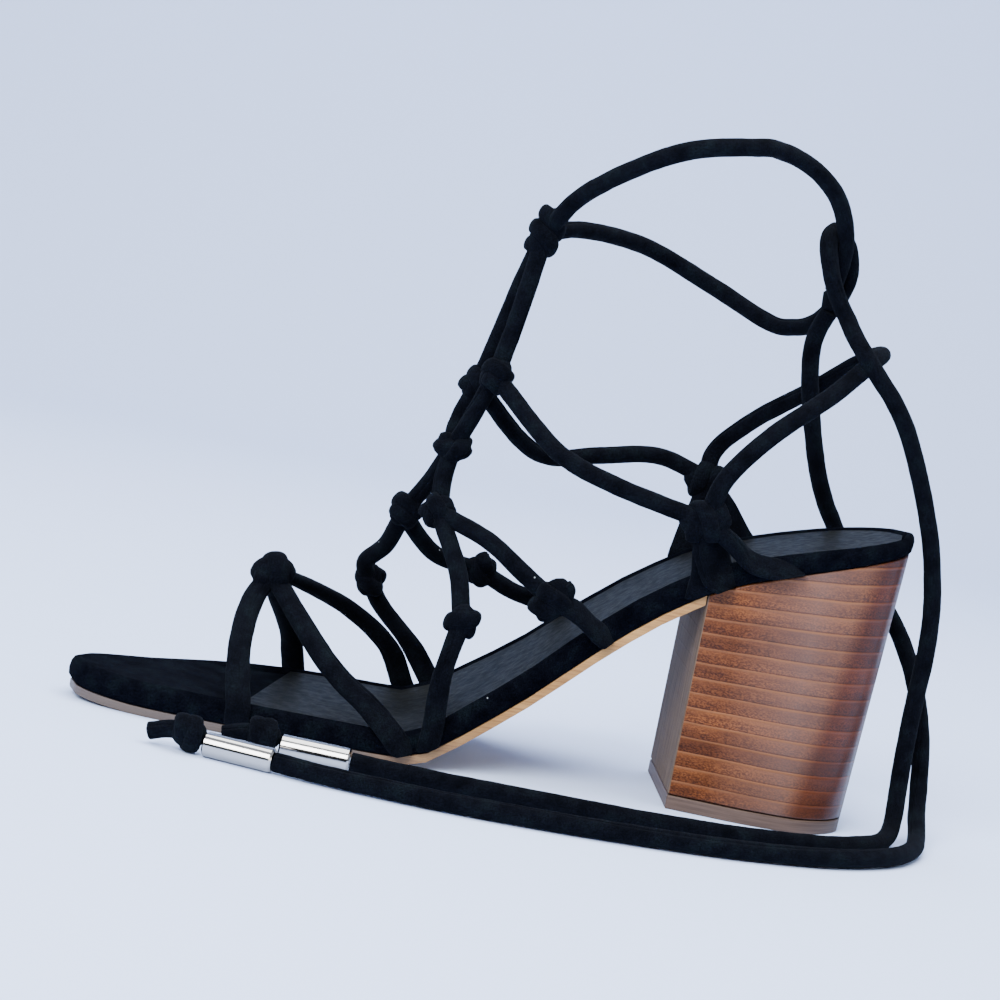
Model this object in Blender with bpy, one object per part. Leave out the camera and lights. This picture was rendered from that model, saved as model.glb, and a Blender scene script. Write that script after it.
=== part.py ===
"""A heeled sandal of knotted suede cord for the right foot, standing empty on its sole.

Metres. The toe points along -X, the inner side of the foot faces -Y, and +Z is up. The origin is on the
floor under the middle of the shoe's box. Shares along the shoe run from 0 at the toe tip to 1 at the back.
"""

import math

import bmesh
import bpy
import numpy as np
from mathutils import Vector

# Sole and footbed
LENGTH = 0.234
BALL_WIDTH = 0.079
SEAT_HEIGHT = 0.0847
OUTSOLE_THICKNESS = 0.0024
FOOTBED_THICKNESS = 0.0068
SEAT_THICKNESS = 0.0048
SOCK_THICKNESS = 0.0009
OUTSOLE_INSET = 0.0010
HOLLOW_DEPTH = 0.0019
HOLLOW_FROM = 0.130
HOLLOW_TO = 0.210
SOCK_INSET = 0.0039
SOCK_FRONT_INNER = 0.215
SOCK_FRONT_OUTER = 0.262
SOLE_SECTIONS = 44

# Heel
HEEL_LENGTH = 0.060
HEEL_INSET = 0.0007
HEEL_BACK_RAKE = 0.0042
LIFT_THICKNESS = 0.0040

# Cord straps
CORD_DIAMETER = 0.0053
TOE_CORD_WIDTH = 0.0066
TOE_CORD_THICKNESS = 0.0036
FLAT_CORD_WIDTH = 0.0062
FLAT_CORD_THICKNESS = 0.0026
TOE_STRAP_RISE = 0.0330
ANKLE_RISE = 0.1360
CORD_SIDES = 8
CORD_STEP = 0.0085

# Metal barrels and knots at the ends of the ties
BARREL_LENGTH = 0.0195
BARREL_DIAMETER = 0.0068
END_KNOT_LENGTH = 0.0100
END_KNOT_DIAMETER = 0.0098
TAIL_LENGTH = 0.0065

# Curved pieces lie this far apart
GAP = 0.0003

# Plan of the footbed: share along, inner edge and outer edge as shares of the ball width
PLAN = (
    (0.000, -0.250, -0.250),
    (0.010, -0.345, -0.150),
    (0.035, -0.405, -0.035),
    (0.075, -0.445, 0.085),
    (0.120, -0.468, 0.205),
    (0.172, -0.482, 0.330),
    (0.225, -0.492, 0.420),
    (0.290, -0.498, 0.480),
    (0.360, -0.500, 0.500),
    (0.430, -0.500, 0.500),
    (0.500, -0.435, 0.462),
    (0.570, -0.375, 0.410),
    (0.640, -0.335, 0.365),
    (0.710, -0.328, 0.345),
    (0.780, -0.345, 0.352),
    (0.850, -0.365, 0.367),
    (0.905, -0.357, 0.357),
    (0.950, -0.295, 0.295),
    (0.980, -0.200, 0.200),
    (1.000, 0.000, 0.000),
)

# Side of the last: share along, and the footbed's underside as a share of its rise from ball to seat
RISE = (
    (0.00, 0.022),
    (0.05, 0.007),
    (0.10, 0.000),
    (0.40, 0.000),
    (0.42, 0.008),
    (0.45, 0.045),
    (0.48, 0.107),
    (0.52, 0.195),
    (0.56, 0.290),
    (0.60, 0.398),
    (0.64, 0.503),
    (0.68, 0.602),
    (0.72, 0.687),
    (0.76, 0.760),
    (0.82, 0.832),
    (0.88, 0.893),
    (0.94, 0.948),
    (1.00, 1.000),
)

# Edge of a plate from its underside to its top: inset as a share of its thickness, share of the height
ROLLED_EDGE = ((0.16, 0.00), (0.03, 0.14), (0.00, 0.42), (0.05, 0.72), (0.16, 0.92), (0.30, 1.00))
CUT_EDGE = ((0.10, 0.00), (0.00, 0.25), (0.00, 1.00))

# Inner side of the footbed's rim: inset as a share of the thickness, share of the way down to the hollow
HOLLOW_EDGE = ((0.40, 0.10), (0.47, 0.60), (0.53, 1.00))

# Knots: share along, share of ball width across, share of the ankle rise above the footbed, then the
# knot's length, width and depth as shares of the cord's diameter, and the lean of its long side in degrees
KNOTS = {
    "over_ball_inner": (0.405, -0.105, 0.440, 2.1, 1.8, 1.8, 60),
    "over_ball_outer": (0.366, 0.115, 0.420, 2.1, 1.8, 1.8, 60),
    "ball_side_inner": (0.454, -0.435, 0.205, 2.0, 1.7, 1.6, 80),
    "ball_side_outer": (0.340, 0.415, 0.232, 2.0, 1.7, 1.6, 80),
    "waist_inner": (0.556, -0.418, 0.140, 2.7, 1.9, 1.6, 70),
    "waist_outer": (0.479, 0.385, 0.226, 2.1, 1.7, 1.6, 40),
    "instep_low": (0.408, 0.000, 0.574, 2.3, 2.3, 1.5, 0),
    "instep_inner": (0.442, -0.060, 0.722, 2.2, 2.0, 1.7, 60),
    "instep_outer": (0.424, 0.065, 0.706, 2.2, 2.0, 1.7, 60),
    "ankle_front": (0.469, 0.000, 1.000, 3.1, 2.1, 1.8, 75),
    "heel_side_inner": (0.717, -0.420, 0.124, 2.9, 2.1, 1.6, 10),
    "heel_side_outer": (0.745, 0.420, 0.150, 2.7, 2.0, 1.6, 10),
    "heel_back": (0.908, 0.000, 0.400, 1.6, 1.5, 1.3, 0),
    "ankle_back": (0.838, 0.000, 0.610, 2.6, 2.2, 2.0, 80),
}

# Cords between two knots, with the places that each passes on its way, as in the table of knots
LINKS = (
    ("over_ball_inner", ((0.439, -0.300, 0.318),), "ball_side_inner"),
    ("over_ball_outer", ((0.352, 0.255, 0.330), (0.330, 0.350, 0.275)), "ball_side_outer"),
    ("over_ball_inner", ((0.470, -0.280, 0.348), (0.518, -0.370, 0.235)), "waist_inner"),
    ("over_ball_outer", ((0.384, 0.205, 0.372), (0.421, 0.320, 0.310)), "waist_outer"),
    ("over_ball_inner", ((0.404, -0.045, 0.510),), "instep_low"),
    ("over_ball_outer", ((0.390, 0.055, 0.498),), "instep_low"),
    ("instep_low", ((0.424, -0.050, 0.640),), "instep_inner"),
    ("instep_low", ((0.408, 0.055, 0.630),), "instep_outer"),
    ("instep_inner", ((0.452, -0.040, 0.800), (0.461, -0.036, 0.900)), "ankle_front"),
    ("instep_outer", ((0.437, 0.040, 0.800), (0.451, 0.036, 0.900)), "ankle_front"),
    ("instep_inner", ((0.506, -0.230, 0.540), (0.546, -0.330, 0.440), (0.610, -0.395, 0.305)),
     "heel_side_inner"),
    ("instep_outer", ((0.492, 0.230, 0.520), (0.538, 0.330, 0.425), (0.601, 0.400, 0.345),
                      (0.678, 0.430, 0.255)), "heel_side_outer"),
    ("heel_side_inner", ((0.732, -0.425, 0.205), (0.778, -0.395, 0.272), (0.842, -0.270, 0.330)),
     "heel_back"),
    ("heel_side_outer", ((0.750, 0.425, 0.215), (0.792, 0.375, 0.272), (0.850, 0.250, 0.330)),
     "heel_back"),
    ("ankle_front", ((0.507, -0.205, 1.050), (0.599, -0.420, 1.015), (0.690, -0.420, 0.925),
                     (0.775, -0.255, 0.805), (0.822, -0.085, 0.720)), "ankle_back"),
    ("ankle_front", ((0.520, 0.160, 0.955), (0.607, 0.360, 0.810), (0.702, 0.430, 0.620),
                     (0.780, 0.350, 0.490), (0.828, 0.190, 0.490)), "ankle_back"),
)

# Legs from a knot to the rim: places passed, side of the foot (-1 inner, 1 outer), share along at the rim
LEGS = (
    ("ball_side_inner", ((0.443, -0.490, 0.105),), -1, 0.4415),
    ("ball_side_outer", ((0.362, 0.465, 0.175), (0.410, 0.500, 0.095)), 1, 0.4510),
    ("waist_inner", ((0.592, -0.400, 0.070),), -1, 0.6320),
    ("waist_outer", ((0.530, 0.420, 0.120),), 1, 0.6060),
    ("heel_side_inner", (), -1, 0.7310),
    ("heel_side_inner", ((0.772, -0.410, 0.062),), -1, 0.8300),
    ("heel_side_outer", ((0.740, 0.400, 0.085),), 1, 0.7290),
    ("heel_side_outer", ((0.772, 0.405, 0.085),), 1, 0.8150),
)

# Toe strap, as shares of the toe strap's own rise above the footbed
TOE_KNOT = (0.219, -0.025, 1.000, 2.1, 1.7, 1.7, 10)
TOE_LEGS = (
    (((0.202, -0.110, 0.770), (0.198, -0.290, 0.470), (0.205, -0.440, 0.185)), -1, 0.2130),
    (((0.250, -0.130, 0.770), (0.310, -0.330, 0.390), (0.358, -0.430, 0.170)), -1, 0.4085),
    (((0.232, 0.110, 0.730), (0.252, 0.300, 0.400)), 1, 0.2680),
    (((0.262, 0.120, 0.900), (0.323, 0.300, 0.690), (0.380, 0.420, 0.380)), 1, 0.4200),
)

# Routes of the two long ties, in metres: down from the ankle, the inner one behind the heel and the outer
# one over the outer rim of the seat, then forwards along the floor
TIE_INNER = (
    (0.0825, -0.0078, 0.1468),
    (0.0856, -0.0110, 0.1418),
    (0.0893, -0.0142, 0.1370),
    (0.0942, -0.0152, 0.1316),
    (0.0996, -0.0142, 0.1262),
    (0.1052, -0.0122, 0.1190),
    (0.1104, -0.0102, 0.1100),
    (0.1154, -0.0088, 0.0995),
    (0.1198, -0.0078, 0.0885),
    (0.1230, -0.0072, 0.0770),
    (0.1250, -0.0070, 0.0660),
    (0.1256, -0.0072, 0.0540),
    (0.1252, -0.0080, 0.0410),
    (0.1250, -0.0092, 0.0280),
    (0.1250, -0.0115, 0.0160),
    (0.1243, -0.0165, 0.0072),
    (0.1212, -0.0255, 0.0033),
    (0.1140, -0.0372, 0.0029),
    (0.0980, -0.0500, 0.0029),
    (0.0740, -0.0585, 0.0029),
    (0.0480, -0.0620, 0.0029),
    (0.0220, -0.0620, 0.0029),
    (-0.0040, -0.0615, 0.0029),
    (-0.0260, -0.0600, 0.0030),
    (-0.0340, -0.0590, 0.0032),
)
TIE_OUTER = (
    (0.0785, 0.0005, 0.1480),
    (0.0768, 0.0035, 0.1420),
    (0.0768, 0.0070, 0.1350),
    (0.0792, 0.0108, 0.1245),
    (0.0833, 0.0155, 0.1125),
    (0.0880, 0.0210, 0.1010),
    (0.0927, 0.0262, 0.0925),
    (0.0972, 0.0302, 0.0862),
    (0.1018, 0.0322, 0.0800),
    (0.1075, 0.0318, 0.0735),
    (0.1140, 0.0285, 0.0672),
    (0.1205, 0.0230, 0.0600),
    (0.1260, 0.0165, 0.0505),
    (0.1300, 0.0095, 0.0395),
    (0.1322, 0.0030, 0.0280),
    (0.1328, -0.0030, 0.0165),
    (0.1326, -0.0090, 0.0085),
    (0.1318, -0.0180, 0.0038),
    (0.1275, -0.0335, 0.0029),
    (0.1175, -0.0500, 0.0029),
    (0.0980, -0.0660, 0.0029),
    (0.0720, -0.0770, 0.0029),
    (0.0440, -0.0830, 0.0029),
    (0.0150, -0.0860, 0.0029),
    (-0.0130, -0.0860, 0.0029),
    (-0.0400, -0.0820, 0.0030),
    (-0.0540, -0.0780, 0.0032),
)


def clear_scene():
    for obj in list(bpy.data.objects):
        bpy.data.objects.remove(obj, do_unlink=True)


def read_between(table, column, at, key=lambda share: share):
    """A smooth curve through one column of a table, which never swings past its rows."""
    xs = [key(row[0]) for row in table]
    ys = [row[column] for row in table]
    steps = [xs[i + 1] - xs[i] for i in range(len(xs) - 1)]
    slopes = [(ys[i + 1] - ys[i]) / steps[i] for i in range(len(steps))]
    tangents = [slopes[0]]
    for before, after in zip(slopes, slopes[1:]):
        level = before * after <= 0
        tangents.append(0.0 if level else 2.0 * before * after / (before + after))
    tangents.append(slopes[-1])
    at = min(max(key(at), xs[0]), xs[-1])
    i = max(k for k in range(len(steps)) if xs[k] <= at)
    t = (at - xs[i]) / steps[i]
    start = ys[i] * (1 + 2 * t) * (1 - t) ** 2 + steps[i] * tangents[i] * t * (1 - t) ** 2
    end = ys[i + 1] * t * t * (3 - 2 * t) + steps[i] * tangents[i + 1] * t * t * (t - 1)
    return start + end


def round_ends(share):
    """Shares as an angle, which makes a curve through them round at toe and heel."""
    return math.acos(1.0 - 2.0 * min(max(share, 0.0), 1.0))


def x_at(along):
    return (along - 0.5) * LENGTH


def along_at(x):
    return x / LENGTH + 0.5


def edge_point(side, along, inset=0.0, square=False):
    """A place on the footbed's plan, moved inwards square to the edge, or straight across the shoe."""
    column = 1 if side < 0 else 2
    here = round_ends(along)
    turn = 0.01
    before, after = max(here - turn, 0.0), min(here + turn, math.pi)
    shares = [(1.0 - math.cos(angle)) / 2.0 for angle in (before, here, after)]
    points = [
        Vector((x_at(share), BALL_WIDTH * read_between(PLAN, column, share, round_ends)))
        for share in shares
    ]
    run = (points[2] - points[0]).normalized()
    inwards = Vector((-run.y, run.x)) if side < 0 else Vector((run.y, -run.x))
    if square or along <= 0.0 or along >= 1.0:
        inwards = Vector((0.0, -side)) if square else Vector((1.0 if along <= 0.0 else -1.0, 0.0))
    return points[1] + inset * inwards


def underside(x):
    """Height of the footbed's underside, which is the line of the last."""
    base = OUTSOLE_THICKNESS + GAP
    return base + (SEAT_HEIGHT - base) * read_between(RISE, 1, along_at(x))


def upright(x, thickness):
    """A thickness square to the sole's slope, measured straight up."""
    step = 0.001
    slope = (underside(x + step) - underside(x - step)) / (2 * step)
    return thickness * math.hypot(1.0, slope)


def footbed_top(x):
    breast = LENGTH / 2 - HEEL_LENGTH
    back = min(max((x - breast) / HEEL_LENGTH, 0.0), 1.0)
    return underside(x) + upright(x, FOOTBED_THICKNESS + (SEAT_THICKNESS - FOOTBED_THICKNESS) * back)


def hollow_floor(x):
    """Height of the footbed inside its rim, where the sock lies: it sinks gently behind the toes."""
    deep = min(max((along_at(x) - HOLLOW_FROM) / (HOLLOW_TO - HOLLOW_FROM), 0.0), 1.0)
    return footbed_top(x) - upright(x, HOLLOW_DEPTH) * deep * deep * (3 - 2 * deep)


def outsole_top(x):
    return underside(x) - GAP


def outsole_bottom(x):
    return outsole_top(x) - upright(x, OUTSOLE_THICKNESS)


def sock_bottom(x):
    return hollow_floor(x) + GAP


def sock_top(x):
    return hollow_floor(x) + GAP + upright(x, SOCK_THICKNESS)


def material(name, colour, roughness, metallic=0.0):
    made = bpy.data.materials.new(name)
    made.use_nodes = True
    shader = made.node_tree.nodes["Principled BSDF"]
    shader.inputs["Base Color"].default_value = (*colour, 1.0)
    shader.inputs["Roughness"].default_value = roughness
    shader.inputs["Metallic"].default_value = metallic
    return made


def add_object(name, mesh, look):
    obj = bpy.data.objects.new(name, mesh)
    bpy.context.scene.collection.objects.link(obj)
    mesh.materials.append(look)
    return obj


def mesh_from_rings(name, rings, cap_first, cap_last):
    """A closed mesh from rings of points, with flat ends where asked and welded ones elsewhere."""
    bm = bmesh.new()
    made = [[bm.verts.new(point) for point in ring] for ring in rings]
    count = len(rings[0])
    for first, second in zip(made, made[1:]):
        for i in range(count):
            j = (i + 1) % count
            bm.faces.new((first[i], first[j], second[j], second[i]))
    if cap_first:
        bm.faces.new(made[0])
    if cap_last:
        bm.faces.new(reversed(made[-1]))
    bmesh.ops.remove_doubles(bm, verts=bm.verts, dist=1e-6)
    bmesh.ops.dissolve_degenerate(bm, edges=bm.edges, dist=1e-7)
    bmesh.ops.recalc_face_normals(bm, faces=bm.faces)
    mesh = bpy.data.meshes.new(name)
    bm.to_mesh(mesh)
    bm.free()
    mesh.shade_smooth()
    mesh.set_sharp_from_angle(angle=math.radians(40))
    return mesh


def shares_from(first, last=1.0):
    """The sections that all plates share, closer together at toe and heel, kept between two shares."""
    angles = np.linspace(0.0, math.pi, SOLE_SECTIONS)
    least = 0.25 / SOLE_SECTIONS
    inside = [share for share in (1.0 - np.cos(angles)) / 2.0 if first + least < share < last - least]
    return [first, *(float(share) for share in inside), last]


def plate(name, inner_shares, outer_shares, inset, edge, thickness, low, high, inner_edge=(), columns=3):
    """A bent plate under the foot: its edge profile along both sides, and columns of points between."""
    floor = hollow_floor if inner_edge else high
    rings = []
    for inner, outer in zip(inner_shares, outer_shares):
        sides = []
        for side, along in ((-1, inner), (1, outer)):
            square = 0.0 < along < 1.0 and along in (inner_shares[0], outer_shares[0], inner_shares[-1])
            wall = []
            for share, height in edge:
                point = edge_point(side, along, inset + share * thickness, square)
                z = low(point.x) + (high(point.x) - low(point.x)) * height
                wall.append(Vector((point.x, point.y, z)))
            for share, drop in inner_edge:
                point = edge_point(side, along, inset + share * thickness, square)
                z = high(point.x) + (floor(point.x) - high(point.x)) * drop
                wall.append(Vector((point.x, point.y, z)))
            sides.append(wall)
        ring = list(sides[0])
        for i in range(1, columns + 1):
            point = sides[0][-1].lerp(sides[1][-1], i / (columns + 1))
            ring.append(Vector((point.x, point.y, floor(point.x))))
        ring += reversed(sides[1])
        for i in range(1, columns + 1):
            point = sides[1][0].lerp(sides[0][0], i / (columns + 1))
            ring.append(Vector((point.x, point.y, low(point.x))))
        rings.append(ring)
    return mesh_from_rings(name, rings, inner_shares[0] > 0.0, inner_shares[-1] < 1.0)


def make_footbed(look):
    shares = shares_from(0.0)
    mesh = plate("footbed", shares, shares, 0.0, ROLLED_EDGE, FOOTBED_THICKNESS, underside, footbed_top,
                 HOLLOW_EDGE)
    return add_object("footbed", mesh, look)


def make_outsole(look):
    breast = along_at(LENGTH / 2 - HEEL_LENGTH - GAP)
    shares = shares_from(0.0, breast)
    mesh = plate("outsole", shares, shares, OUTSOLE_INSET, CUT_EDGE, OUTSOLE_THICKNESS,
                 outsole_bottom, outsole_top)
    return add_object("outsole", mesh, look)


def make_sock(look):
    behind = shares_from(max(SOCK_FRONT_INNER, SOCK_FRONT_OUTER))[1:]
    inner = [SOCK_FRONT_INNER, *behind]
    outer = [SOCK_FRONT_OUTER, *behind]
    mesh = plate("insole_sock", inner, outer, SOCK_INSET, CUT_EDGE, SOCK_THICKNESS, sock_bottom, sock_top)
    return add_object("insole_sock", mesh, look)


def heel_outline(height):
    """Points round the heel at a share of its height, from the inner breast corner to the outer one."""
    breast = LENGTH / 2 - HEEL_LENGTH
    keep = 1.0 - (1.0 - height) * HEEL_BACK_RAKE / HEEL_LENGTH
    shares = shares_from(along_at(breast))
    inner = [edge_point(-1, share, HEEL_INSET, share == shares[0]) for share in shares]
    outer = [edge_point(1, share, HEEL_INSET, share == shares[0]) for share in shares]
    return [Vector((breast + (p.x - breast) * keep, p.y)) for p in inner + outer[-2::-1]]


def heel_slab(name, low, high, low_share, high_share):
    """A piece of the heel between two surfaces, closed across the breast and over both faces."""
    lower = heel_outline(low_share)
    upper = heel_outline(high_share)
    half = len(lower) // 2
    rings = []
    for i in range(half + 1):
        j = len(lower) - 1 - i
        rings.append([
            Vector((*lower[i], low(lower[i].x))),
            Vector((*upper[i], high(upper[i].x))),
            Vector((*upper[j], high(upper[j].x))),
            Vector((*lower[j], low(lower[j].x))),
        ])
    return mesh_from_rings(name, rings, True, False)


def make_heel(look):
    split = (LIFT_THICKNESS + GAP) / SEAT_HEIGHT
    mesh = heel_slab("heel_block", lambda x: LIFT_THICKNESS + GAP, lambda x: underside(x) - GAP,
                     split, 1.0)
    return add_object("heel_block", mesh, look)


def make_lift(look):
    mesh = heel_slab("top_lift", lambda x: 0.0, lambda x: LIFT_THICKNESS, 0.0, LIFT_THICKNESS / SEAT_HEIGHT)
    return add_object("top_lift", mesh, look)


def placed(row, rise):
    """A place over the footbed from shares along, across and up."""
    x = x_at(row[0])
    return Vector((x, row[1] * BALL_WIDTH, footbed_top(x) + row[2] * rise))


def smooth_route(points, step):
    """Points a step apart on a smooth curve through the given ones."""
    ends = [2 * points[0] - points[1], *points, 2 * points[-1] - points[-2]]
    fine = []
    for before, start, end, after in zip(ends, ends[1:], ends[2:], ends[3:]):
        for i in range(12):
            t = i / 12
            fine.append(0.5 * (
                2 * start + (end - before) * t + (2 * before - 5 * start + 4 * end - after) * t * t
                + (3 * start - before - 3 * end + after) * t ** 3
            ))
    fine.append(points[-1].copy())
    run = np.cumsum([0.0] + [(b - a).length for a, b in zip(fine, fine[1:])])
    count = max(3, round(run[-1] / step) + 1)
    wanted = np.linspace(0.0, run[-1], count)
    columns = [np.interp(wanted, run, [point[axis] for point in fine]) for axis in range(3)]
    return [Vector(point) for point in zip(*columns)]


def cord_mesh(name, route, widths, depths):
    """A cord swept along a route, as wide along the shoe's surface and as deep across it as listed."""
    rings = []
    for i, point in enumerate(route):
        ahead = (route[min(i + 1, len(route) - 1)] - route[max(i - 1, 0)]).normalized()
        out = Vector((0.0, point.y, 0.35 * BALL_WIDTH))
        out = (out - out.dot(ahead) * ahead).normalized()
        across = ahead.cross(out)
        ring = []
        for k in range(CORD_SIDES):
            angle = 2 * math.pi * (k + 0.5) / CORD_SIDES
            ring.append(point + math.cos(angle) * widths[i] / 2 * across
                        + math.sin(angle) * depths[i] / 2 * out)
        rings.append(ring)
    return mesh_from_rings(name, rings, True, True)


def rim_points(side, along, depth):
    """The last places of a leg: over the rim, then down its side to the outsole's edge."""
    clear = GAP + depth / 2
    above = edge_point(side, along, 0.10 * FOOTBED_THICKNESS)
    beside = edge_point(side, along, -clear)
    top = footbed_top(beside.x)
    low = underside(beside.x) + 0.10 * FOOTBED_THICKNESS
    return [
        Vector((above.x, above.y, top + 0.70 * FOOTBED_THICKNESS)),
        Vector((beside.x, beside.y, top + 0.05 * FOOTBED_THICKNESS)),
        Vector((beside.x, beside.y, (top + low) / 2)),
        Vector((beside.x, beside.y, low)),
    ]


def leg_mesh(name, knot, passed, side, along, rise, wide, deep):
    """A leg from a knot to the rim, where it is pressed flat against the edge."""
    points = [knot, *(placed(row, rise) for row in passed), *rim_points(side, along, FLAT_CORD_THICKNESS)]
    route = smooth_route(points, CORD_STEP * 0.8)
    run = [0.0]
    for a, b in zip(route, route[1:]):
        run.append(run[-1] + (b - a).length)
    flat_from = run[-1] - 3.0 * FOOTBED_THICKNESS
    flat_to = run[-1] - 1.3 * FOOTBED_THICKNESS
    widths, depths = [], []
    for length in run:
        flat = min(max((length - flat_from) / (flat_to - flat_from), 0.0), 1.0)
        widths.append(wide + (max(wide, FLAT_CORD_WIDTH) - wide) * flat)
        depths.append(deep + (FLAT_CORD_THICKNESS - deep) * flat)
    return cord_mesh(name, route, widths, depths)


def knot_mesh(name, centre, row, cord):
    """A tied knot as one lump: an egg with a band of cord round its middle."""
    length, width, depth = (share * cord / 2 for share in row[3:6])
    lean = math.radians(row[6])
    long = Vector((math.cos(lean), 0.0, math.sin(lean)))
    out = Vector((0.0, 1.0, 0.0)) if abs(centre.y) > 0.3 * BALL_WIDTH else Vector((-0.5, 0.0, 0.866))
    out = (out - out.dot(long) * long).normalized()
    wide = long.cross(out)
    rings = []
    steps = 8
    for i in range(steps + 1):
        turn = math.pi * i / steps
        band = 1.0 + 0.16 * math.exp(-((turn - math.pi / 2) / 0.35) ** 2)
        reach = math.sin(turn) * band
        ring = []
        for k in range(CORD_SIDES + 2):
            angle = 2 * math.pi * k / (CORD_SIDES + 2)
            ring.append(centre - math.cos(turn) * length * long
                        + reach * (math.cos(angle) * width * wide + math.sin(angle) * depth * out))
        rings.append(ring)
    return mesh_from_rings(name, rings, False, False)


def fused(name, meshes, look):
    """Cords and knots joined into one solid by a union."""
    first = add_object(name, meshes[0], look)
    others = bpy.data.collections.new(name + "_pieces")
    bpy.context.scene.collection.children.link(others)
    for mesh in meshes[1:]:
        piece = bpy.data.objects.new(mesh.name, mesh)
        piece.hide_render = True
        piece.display_type = "WIRE"
        others.objects.link(piece)
    union = first.modifiers.new("join", "BOOLEAN")
    union.operation = "UNION"
    union.operand_type = "COLLECTION"
    union.collection = others
    union.solver = "EXACT"
    union.use_self = True
    return first


def make_toe_strap(look):
    knot = placed(TOE_KNOT, TOE_STRAP_RISE)
    meshes = [knot_mesh("toe_knot", knot, TOE_KNOT, TOE_CORD_WIDTH)]
    for i, (passed, side, along) in enumerate(TOE_LEGS):
        meshes.append(leg_mesh(f"toe_leg_{i}", knot, passed, side, along, TOE_STRAP_RISE,
                               TOE_CORD_WIDTH, TOE_CORD_THICKNESS))
    return fused("toe_strap", meshes, look)


def make_instep_net(look):
    centres = {name: placed(row, ANKLE_RISE) for name, row in KNOTS.items()}
    meshes = [knot_mesh(name + "_knot", centres[name], row, CORD_DIAMETER) for name, row in KNOTS.items()]
    for i, (start, passed, end) in enumerate(LINKS):
        points = [centres[start], *(placed(row, ANKLE_RISE) for row in passed), centres[end]]
        route = smooth_route(points, CORD_STEP)
        round_cord = [CORD_DIAMETER] * len(route)
        meshes.append(cord_mesh(f"link_{i}", route, round_cord, round_cord))
    for i, (start, passed, side, along) in enumerate(LEGS):
        meshes.append(leg_mesh(f"leg_{i}", centres[start], passed, side, along, ANKLE_RISE,
                               CORD_DIAMETER, CORD_DIAMETER))
    for i, tie in enumerate((TIE_INNER, TIE_OUTER)):
        start, after = Vector(tie[0]), Vector(tie[1])
        ahead = (after - start).normalized()
        end = start - GAP * ahead
        route = [centres["ankle_back"], end - CORD_DIAMETER * ahead, end]
        meshes.append(cord_mesh(f"tie_stub_{i}", route, [CORD_DIAMETER] * 3, [CORD_DIAMETER] * 3))
    return fused("instep_net", meshes, look)


def make_tie(name, points, look):
    """A free tie: one round cord along its own route."""
    route = smooth_route([Vector(point) for point in points], 2 * CORD_DIAMETER)
    curve = bpy.data.curves.new(name, "CURVE")
    curve.dimensions = "3D"
    curve.bevel_depth = CORD_DIAMETER / 2
    curve.bevel_resolution = 2
    curve.use_fill_caps = True
    spline = curve.splines.new("POLY")
    spline.points.add(len(route) - 1)
    for place, point in zip(spline.points, route):
        place.co = (*point, 1.0)
    return add_object(name, curve, look)


def turned(name, start, ahead, profile, look, sides):
    """A solid turned round a line: profile rows hold the distance along it and the radius there."""
    side = ahead.cross(Vector((0.0, 0.0, 1.0))).normalized()
    up = side.cross(ahead).normalized()
    rings = []
    for along, radius in profile:
        rings.append([
            start + along * ahead + radius * (math.cos(a) * side + math.sin(a) * up)
            for a in (2 * math.pi * (k + 0.5) / sides for k in range(sides))
        ])
    return add_object(name, mesh_from_rings(name, rings, True, True), look)


def make_tie_end(name, points, metal, suede):
    """The barrel threaded on a tie's end, and the knot and short tail that stop it."""
    last, before = Vector(points[-1]), Vector(points[-2])
    ahead = last - before
    ahead.z = 0.0
    ahead.normalize()
    radius = BARREL_DIAMETER / 2
    lip = 0.0005
    start = Vector((last.x, last.y, radius)) + GAP * ahead
    turned("barrel_" + name, start, ahead,
           ((0.0, radius - lip), (lip, radius),
            (BARREL_LENGTH - lip, radius), (BARREL_LENGTH, radius - lip)),
           metal, 16)
    knot = END_KNOT_DIAMETER / 2
    tail = CORD_DIAMETER / 2
    start = start + (BARREL_LENGTH + GAP) * ahead
    start.z = knot * math.cos(math.pi / 12)
    turned("end_knot_" + name, start, ahead,
           ((0.0, 0.55 * knot), (0.18 * END_KNOT_LENGTH, 0.90 * knot), (0.45 * END_KNOT_LENGTH, knot),
            (0.72 * END_KNOT_LENGTH, 0.90 * knot), (0.95 * END_KNOT_LENGTH, tail),
            (END_KNOT_LENGTH + TAIL_LENGTH, tail)),
           suede, 12)


clear_scene()
black_suede = material("black_suede", (0.010, 0.012, 0.014), 0.95)
smooth_leather = material("smooth_leather", (0.060, 0.062, 0.068), 0.50)
tan_sole = material("tan_sole", (0.420, 0.280, 0.170), 0.60)
stacked_wood = material("stacked_wood", (0.260, 0.100, 0.045), 0.35)
lift_rubber = material("lift_rubber", (0.200, 0.120, 0.080), 0.60)
polished_metal = material("polished_metal", (0.700, 0.690, 0.680), 0.15, 1.0)

make_outsole(tan_sole)
make_footbed(black_suede)
make_sock(smooth_leather)
make_heel(stacked_wood)
make_lift(lift_rubber)
make_toe_strap(black_suede)
make_instep_net(black_suede)
make_tie("tie_inner", TIE_INNER, black_suede)
make_tie("tie_outer", TIE_OUTER, black_suede)
make_tie_end("inner", TIE_INNER, polished_metal, black_suede)
make_tie_end("outer", TIE_OUTER, polished_metal, black_suede)
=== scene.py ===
"""Looks of a right-foot heeled sandal: a wrapped sole, a block heel and an upper of knotted suede cord.

Metres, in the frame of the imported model: the toe points along -X, the inner side faces -Y, and +Z is up.
"""

import math

import bpy
import numpy as np
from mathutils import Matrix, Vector, noise
from mathutils.bvhtree import BVHTree


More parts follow.
